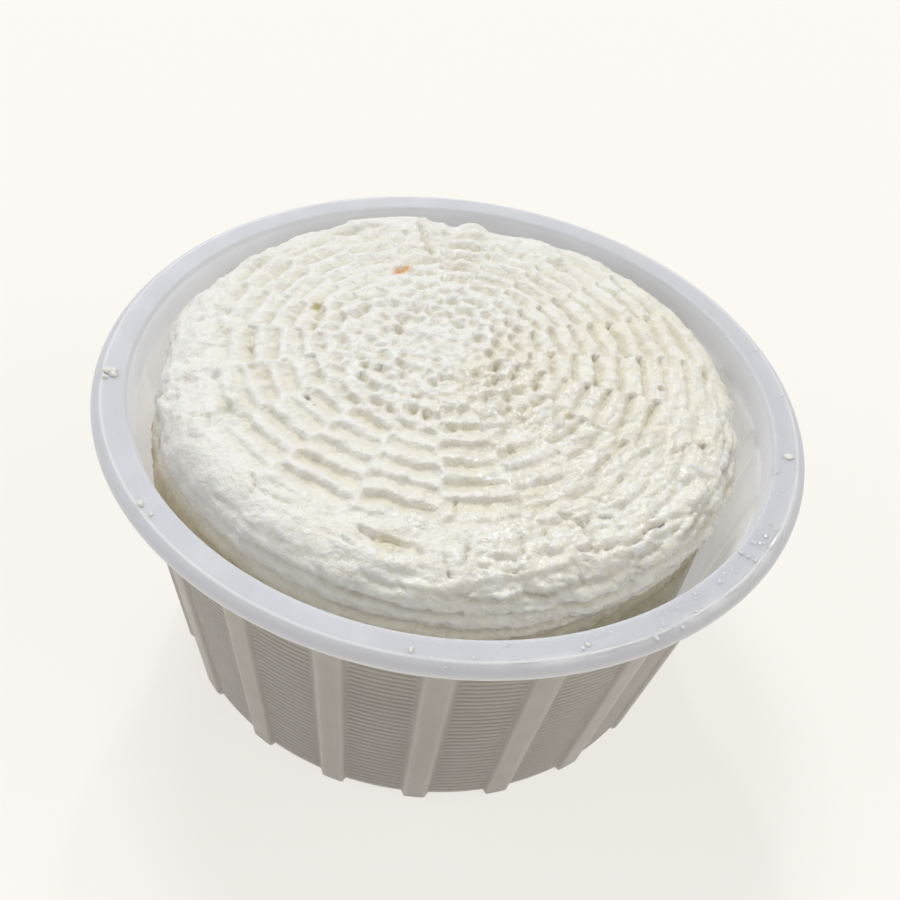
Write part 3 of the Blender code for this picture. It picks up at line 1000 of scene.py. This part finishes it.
def plastic_material():
    """Milky plastic: the colour, with painted light and shade, comes with the mesh, with clouds in it; it
    shines where it is wet and glows with painted light inside.
    """
    look = Look("milky_plastic")
    look.material.cycles.emission_sampling = "NONE"
    clouds = look.ramp(look.noise(60.0, 2.0), 0.3, 0.7, 0.0, 0.12)
    look.feed("Base Color", look.mix(clouds, look.attribute("lit_and_shaded_tone", "Color"), (0.52, 0.51, 0.50)))
    sheen = look.ramp(look.noise(110.0, 2.0), 0.35, 0.68, 0.42, 0.62)
    look.feed("Roughness", look.mix(look.attribute("film"), sheen, 0.2, "FLOAT"))
    # Painted light: the inner wall glows, though no lamp is there
    look.feed("Emission Strength", look.attribute("painted_glow"))
    look.feed("Emission Color", (0.93, 0.94, 1.0))
    look.feed("Specular IOR Level", 0.4)
    look.feed("Subsurface Weight", 0.9)
    look.feed("Subsurface Radius", (1.0, 1.0, 1.0))
    look.feed("Subsurface Scale", 0.006)
    look.feed("Normal", look.bump(look.noise(1200.0, 2.0), 0.5, 0.0002).outputs["Normal"])
    return look.material


# Colour of the plastic from its underside to its inner floor, by shade number, with painted light and shade
# Painted shade below, outside, under the flange and on the collar inside; a painted highlight on the fold;
# painted light on the inner wall
LIT_AND_SHADED_TONES = (
    (0.0, (0.34, 0.325, 0.31)),
    (1.0, (0.375, 0.345, 0.315)),
    (1.5, (0.50, 0.49, 0.48)),
    (2.0, (0.575, 0.585, 0.635)),
    (2.1, (0.68, 0.69, 0.73)),
    (2.2, (0.66, 0.67, 0.72)),
    (3.0, (0.76, 0.775, 0.85)),
    (3.5, (0.78, 0.795, 0.86)),
    (4.0, (0.95, 0.95, 0.99)),
)


def lit_and_shaded_tones(shade):
    """Colours of the plastic, with painted light and shade, for shade numbers."""
    steps = [entry[0] for entry in LIT_AND_SHADED_TONES]
    return np.stack([np.interp(shade, steps, [entry[1][i] for entry in LIT_AND_SHADED_TONES]) for i in range(3)], -1)


def plastic_paint(vertices, shade, rib):
    """The plastic's colour with painted light and shade, its wetness, and its painted glowing light at each
    point.
    """
    colours = lit_and_shaded_tones(shade)
    # Painted light: the ribs lighter than the panels, outside and inside
    outside = ((shade >= 0.9) & (shade < 1.2))[:, None]
    colours = np.where(outside, colours * (1.0 + 0.13 * rib[:, None]), colours)
    inside = shade > 3.8
    colours = np.where(inside[:, None], colours * (0.86 + 0.14 * rib[:, None]), colours)
    facing = facing_of(vertices)

    # Whey on the flange's right front; along its fold a painted highlight lightens the colour towards white
    wet = between(facing, 8.0, 26.0, 62.0, 84.0)
    wet = wet * smooth(fractal(vertices, 7.0, 91, 2), -0.5, 0.2)
    from_fold = np.hypot(vertices[:, 0], vertices[:, 1]) - FOLD_RADIUS - 0.1
    whey_and_highlight_streak = wet * np.exp(-((from_fold / 0.75) ** 2)) * (np.abs(shade - 2.05) < 0.1)
    colours = colours + 0.7 * whey_and_highlight_streak[:, None] * (np.array([0.93, 0.93, 0.95]) - colours)
    film = np.clip(whey_and_highlight_streak + 0.5 * wet * (shade > 1.9) * (shade < 2.3), 0.0, 1.0)

    # Milky clouds down the inner wall, and painted light that glows at both sides, standing in for light that
    # comes through it
    clouds = np.stack([facing * 0.35, np.full(len(facing), 3.0), vertices[:, 2] * 0.22], -1)
    clouds = inside * (0.09 * lattice(clouds, 1.6, 92) + 0.05 * lattice(clouds, 0.6, 93))
    colours = np.clip(colours * (1.0 + clouds[:, None]), 0.0, 1.0)
    sideways = np.exp(-(((facing + 88.0) / 40.0) ** 2)) + 0.6 * np.exp(-(((facing - 80.0) / 45.0) ** 2))
    painted_glow = (shade > 2.9) * sideways * (0.14 + 0.09 * (1.0 - smooth(vertices[:, 2], 60.0, 76.0)))
    return colours, film, painted_glow


def make_basket():
    directions = basket_directions()
    angles = np.radians(directions)
    rings = basket_section(directions)
    count = len(directions)
    circle = np.stack([np.cos(angles), np.sin(angles)], -1)
    vertices, shade = [], []
    for radius, height, number in rings:
        vertices.append(np.column_stack([radius[:, None] * circle, height]))
        shade.append(number)
    vertices = np.concatenate(vertices)
    shade = np.concatenate(shade)
    colours, film, painted_glow = plastic_paint(vertices, shade, np.tile(rib_share(directions), len(rings)))
    faces = []
    for ring in range(len(rings) - 1):
        lower = ring * count
        upper = lower + count
        for a in range(count):
            b = (a + 1) % count
            faces.append((lower + a, lower + b, upper + b, upper + a))

    # A point in the middle of the floor's underside and one in the middle of its top
    hub = len(vertices)
    vertices = list(vertices)
    vertices.append(np.array([0.0, 0.0, FOOT]))
    vertices.append(np.array([0.0, 0.0, FOOT + FLOOR_THICKNESS]))
    faces += [((a + 1) % count, a, hub) for a in range(count)]
    last = (len(rings) - 1) * count
    faces += [(last + a, last + (a + 1) % count, hub + 1) for a in range(count)]
    colours = np.concatenate([colours, colours[:1], colours[-1:]])
    values = [("film", np.append(film, [0.0, 0.0])), ("painted_glow", np.append(painted_glow, [0.0, 0.0]))]
    plastic = plastic_material()
    made = make_object("basket_shell", vertices, faces, plastic, colours=[("lit_and_shaded_tone", colours)], values=values)
    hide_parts("basket")
    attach(made, "root")


def ball(detail):
    """Points and faces of a small ball."""
    mesh = bmesh.new()
    bmesh.ops.create_icosphere(mesh, subdivisions=detail, radius=1.0)
    points = np.array([list(vertex.co) for vertex in mesh.verts])
    faces = [tuple(vertex.index for vertex in face.verts) for face in mesh.faces]
    mesh.free()
    return points, faces


def merged_lumps(entries, detail, seed, uneven):
    """One mesh's points and faces for many small lumps, each given by its place and three sizes."""
    shape, shape_faces = ball(detail)
    rng = np.random.default_rng(seed)
    vertices, faces = [], []
    upward = np.array([0.0, 0.0, 1.0])
    for place, wide, long, tall in entries:
        turn = rng.uniform(0.0, 2 * pi)
        side = np.array([-sin(turn), cos(turn), 0.0])
        other = np.cross(upward, side)
        swell = 1.0 + uneven * lattice(shape * 1.3 + rng.uniform(0.0, 20.0, 3), 1.0, seed + 1)
        local = shape * swell[:, None]
        grown = local[:, :1] * wide * side + local[:, 1:2] * long * other + local[:, 2:] * tall * upward
        first = len(vertices)
        vertices.extend(place + grown)
        faces.extend(tuple(first + index for index in face) for face in shape_faces)
    return vertices, faces


def on_rim(spot):
    """The point of the flange's top that shows at a place in the picture."""
    ray = (
        CAMERA_AIM * FOCAL_PIXELS
        + CAMERA_RIGHT * (spot[0] - FRAME_PIXELS / 2)
        - CAMERA_UP * (spot[1] - FRAME_PIXELS / 2)
    )
    share = (RIM_HEIGHT - 0.12 - CAMERA_PLACE[2]) / ray[2]
    point = CAMERA_PLACE + ray * share
    radius = np.hypot(point[0], point[1])
    kept = min(radius, FLANGE_EDGE)
    point = point * np.array([kept / radius, kept / radius, 1.0])
    point[2] -= 1.25 * max(kept - FOLD_RADIUS, 0.0)
    return point


# Curds that lie on the flange, as place in the picture and three sizes
RIM_CURDS = (
    ((109, 371), 1.1, 1.7, 0.7),
    ((114, 375), 0.8, 1.0, 0.6),
    ((105, 377), 0.5, 0.8, 0.5),
    ((140, 504), 0.7, 1.0, 0.5),
    ((151, 515), 0.4, 0.6, 0.35),
    ((411, 650), 0.5, 0.8, 0.3),
    ((446, 664), 0.4, 0.7, 0.3),
    ((588, 645), 0.5, 0.7, 0.3),
    ((789, 457), 1.1, 1.5, 0.35),
)

# Drops of whey on the flange, as place in the picture and three sizes
RIM_DROPS = (
    ((766, 536), 0.5, 0.8, 0.35),
    ((770, 548), 0.5, 0.7, 0.4),
    ((779, 546), 0.4, 0.7, 0.4),
    ((741, 553), 0.5, 0.7, 0.4),
    ((748, 557), 0.4, 0.5, 0.35),
    ((755, 561), 0.5, 0.6, 0.4),
    ((720, 582), 0.5, 0.7, 0.3),
    ((656, 636), 0.6, 1.1, 0.35),
    ((682, 625), 0.6, 0.9, 0.35),
    ((697, 612), 0.4, 0.6, 0.3),
    ((776, 472), 0.5, 1.1, 0.3),
    ((781, 395), 0.4, 0.7, 0.2),
    ((756, 350), 0.4, 0.5, 0.2),
    ((583, 648), 0.4, 0.6, 0.25),
    ((236, 603), 0.4, 0.6, 0.2),
)


def film_bead(start, end, seed):
    """A thin uneven bead of whey along the flange's fold, from one direction in degrees to another."""
    facings = np.arange(start, end, 0.4)
    share = (facings - start) / (end - start)
    line = np.stack([facings * 1.45, np.full(len(facings), 5.0), np.full(len(facings), 2.0)], -1)
    swell = np.clip(0.55 + 0.9 * fractal(line, 5.0, seed, 2), 0.12, 1.3)
    swell = swell * np.minimum(1.0, 14.0 * np.minimum(share, 1.0 - share))
    middle = FOLD_RADIUS - 0.05 + 0.28 * lattice(line, 9.0, seed + 5)
    count = 10
    vertices, faces = [], []
    for facing, size, radius in zip(np.radians(facings), np.maximum(swell, 0.03), middle):
        for k in range(count):
            turn = 2 * pi * k / count
            reach = radius + 0.55 * size * cos(turn)
            fall = 1.1 * max(reach - FOLD_RADIUS - 0.1, 0.0)
            height = RIM_HEIGHT - 0.10 - fall + 0.24 * size * sin(turn)
            vertices.append(np.array([reach * sin(facing), -reach * cos(facing), height]))
    for i in range(len(facings) - 1):
        for k in range(count):
            after = (k + 1) % count
            faces.append((i * count + k, (i + 1) * count + k, (i + 1) * count + after, i * count + after))
    faces.append(tuple(range(count)))
    faces.append(tuple(reversed(range(len(vertices) - count, len(vertices)))))
    return vertices, faces


def add_whey(name, vertices, faces, colour):
    """A wet piece on the flange, with ripples in its gloss."""
    look = Look(name)
    ripple = look.noise(800.0, 3.0)
    look.feed("Base Color", look.mix(ripple, colour, tuple(0.9 * part for part in colour)))
    look.feed("Roughness", look.ramp(ripple, 0.0, 1.0, 0.06, 0.22))
    look.feed("Normal", look.bump(ripple, 0.5, 0.0003).outputs["Normal"])
    look.feed("Specular IOR Level", 0.6)
    made = make_object(name, vertices, faces, look.material)
    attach(made, "root")


def make_bits(curd):
    """Curds and drops of whey on the flange."""
    entries = []
    for spot, wide, long, tall in RIM_CURDS:
        entries.append((on_rim(spot) + [0.0, 0.0, 0.2 * tall], wide, long, tall))
    vertices, faces = merged_lumps(entries, 2, 82, 0.35)
    plain = np.zeros(len(vertices))
    values = [(label, plain) for label in ("hollow_shade", "damp_and_shade", "stain_and_shade", "wet", "peak_highlight")]
    values.append(("warm_light", plain + 0.3))
    tint = np.zeros((len(vertices), 3))
    crumbs = make_object("loose_curds", vertices, faces, curd, colours=[("tint", tint)], values=values)
    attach(crumbs, "root")

    rng = np.random.default_rng(81)
    entries = [(on_rim(spot), wide, long, tall) for spot, wide, long, tall in RIM_DROPS]
    for _ in range(40):
        facing = radians(rng.normal(50.0, 20.0))
        radius = rng.uniform(78.4, 82.6)
        size = rng.uniform(0.18, 0.4)
        place = np.array([radius * sin(facing), -radius * cos(facing), RIM_HEIGHT - 0.14])
        entries.append((place, size, size * rng.uniform(1.0, 1.6), 0.3 * size))
    vertices, faces = merged_lumps(entries, 3, 84, 0.14)
    add_whey("whey_drops", vertices, faces, (0.80, 0.81, 0.85))

    vertices, faces = [], []
    for start, end, seed in ((12.0, 34.0, 86), (31.0, 68.0, 87)):
        bead_vertices, bead_faces = film_bead(start, end, seed)
        first = len(vertices)
        vertices.extend(bead_vertices)
        faces.extend(tuple(first + index for index in face) for face in bead_faces)
    # The bead is whey, coloured near white as a painted highlight along the fold
    add_whey("whey_film_and_highlight", vertices, faces, (0.86, 0.86, 0.88))


def sun(name, azimuth, elevation, strength, spread, colour):
    """Light from a direction: azimuth 0 is the camera's side, and it grows to the right."""
    data = bpy.data.lights.new(name, "SUN")
    data.energy = strength
    data.angle = radians(spread)
    data.color = colour
    made = bpy.data.objects.new(name, data)
    bpy.context.scene.collection.objects.link(made)
    a, e = radians(azimuth), radians(elevation)
    towards = Vector((sin(a) * cos(e), -cos(a) * cos(e), sin(e)))
    made.rotation_mode = "QUATERNION"
    made.rotation_quaternion = towards.to_track_quat("Z", "Y")


def make_light():
    world = bpy.data.worlds.new("studio")
    bpy.context.scene.world = world
    world.use_nodes = True
    back = world.node_tree.nodes["Background"]
    back.inputs["Color"].default_value = (1.0, 0.985, 0.955, 1.0)
    back.inputs["Strength"].default_value = 0.36
    sun("key", 205, 58, 1.20, 18, (0.97, 0.985, 1.0))
    sun("spark", 188, 42, 0.52, 3, (1.0, 1.0, 1.0))
    sun("left", 285, 34, 0.42, 45, (0.90, 0.95, 1.0))
    sun("right", 80, 40, 0.53, 45, (1.0, 0.97, 0.90))
    bpy.context.scene.view_settings.view_transform = "Standard"
    bpy.context.scene.view_settings.look = "None"


def make_floor():
    material = bpy.data.materials.new("floor")
    material.use_nodes = True
    shader = material.node_tree.nodes["Principled BSDF"]
    shader.inputs["Base Color"].default_value = (0.26, 0.25, 0.24, 1.0)
    shader.inputs["Roughness"].default_value = 0.9
    shader.inputs["Specular IOR Level"].default_value = 0.1
    shader.inputs["Emission Color"].default_value = (1.0, 0.975, 0.925, 1.0)
    shader.inputs["Emission Strength"].default_value = 0.72
    size = 6000.0
    corners = [(-size, -size, 0.0), (size, -size, 0.0), (size, size, 0.0), (-size, size, 0.0)]
    data = bpy.data.meshes.new("floor")
    data.from_pydata([tuple(c * MM for c in corner) for corner in corners], [], [(0, 1, 2, 3)])
    data.materials.append(material)
    made = bpy.data.objects.new("floor", data)
    bpy.context.scene.collection.objects.link(made)


make_camera()
curd_material = cheese_material()
make_cheese(curd_material)
make_basket()
make_bits(curd_material)
make_light()
make_floor()
